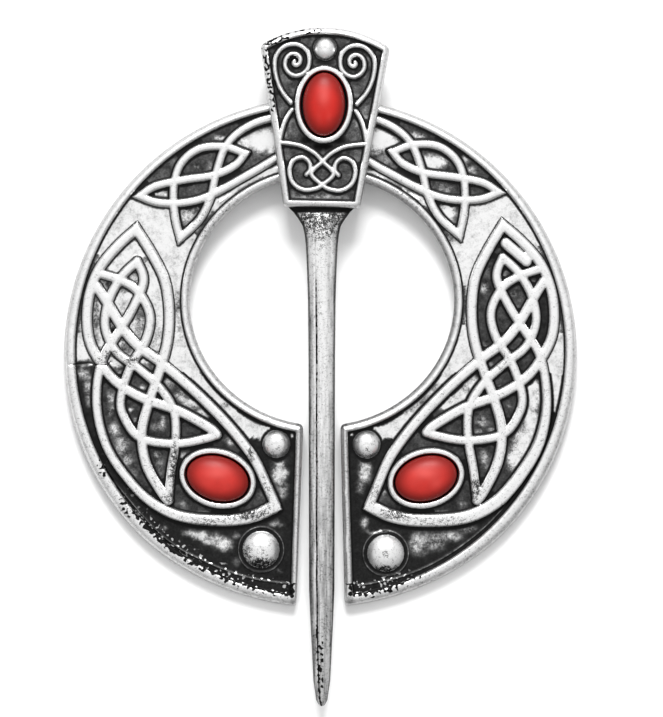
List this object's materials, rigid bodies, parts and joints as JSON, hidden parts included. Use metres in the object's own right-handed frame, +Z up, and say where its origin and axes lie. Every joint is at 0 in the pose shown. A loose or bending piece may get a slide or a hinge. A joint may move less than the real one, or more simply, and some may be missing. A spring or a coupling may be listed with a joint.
{
  "type": "penannular brooch",
  "caption": "Penannular brooch: an open cast hoop with raised knotwork and oval red stones, and a headed pin that swivels round it.",
  "frame": {"origin": "middle of the brooch's plan, on the surface that it lies on", "axes": "+Y along the pin towards its head, +Z up from the surface, out of the decorated face"},
  "size_m": [0.056, 0.074, 0.0076],
  "materials": {
    "antiqued_metal": "cast pewter, worn bright on the raised parts and blackened in the recesses",
    "red_stone": "polished opaque coral red"
  },
  "bodies": {
    "hoop": {"hoop": "antiqued_metal", "left_stone": "red_stone", "right_stone": "red_stone"},
    "pin": {"pin": "antiqued_metal", "head_stone": "red_stone"}
  },
  "joints": [
    {"name": "pin_swivel", "type": "hinge", "parent": "hoop", "child": "pin", "pos_m": [0, 0.00138, 0.00093], "axis": [0, -0.0335, 0.9994], "range_deg": [-20, 20]}
  ]
}
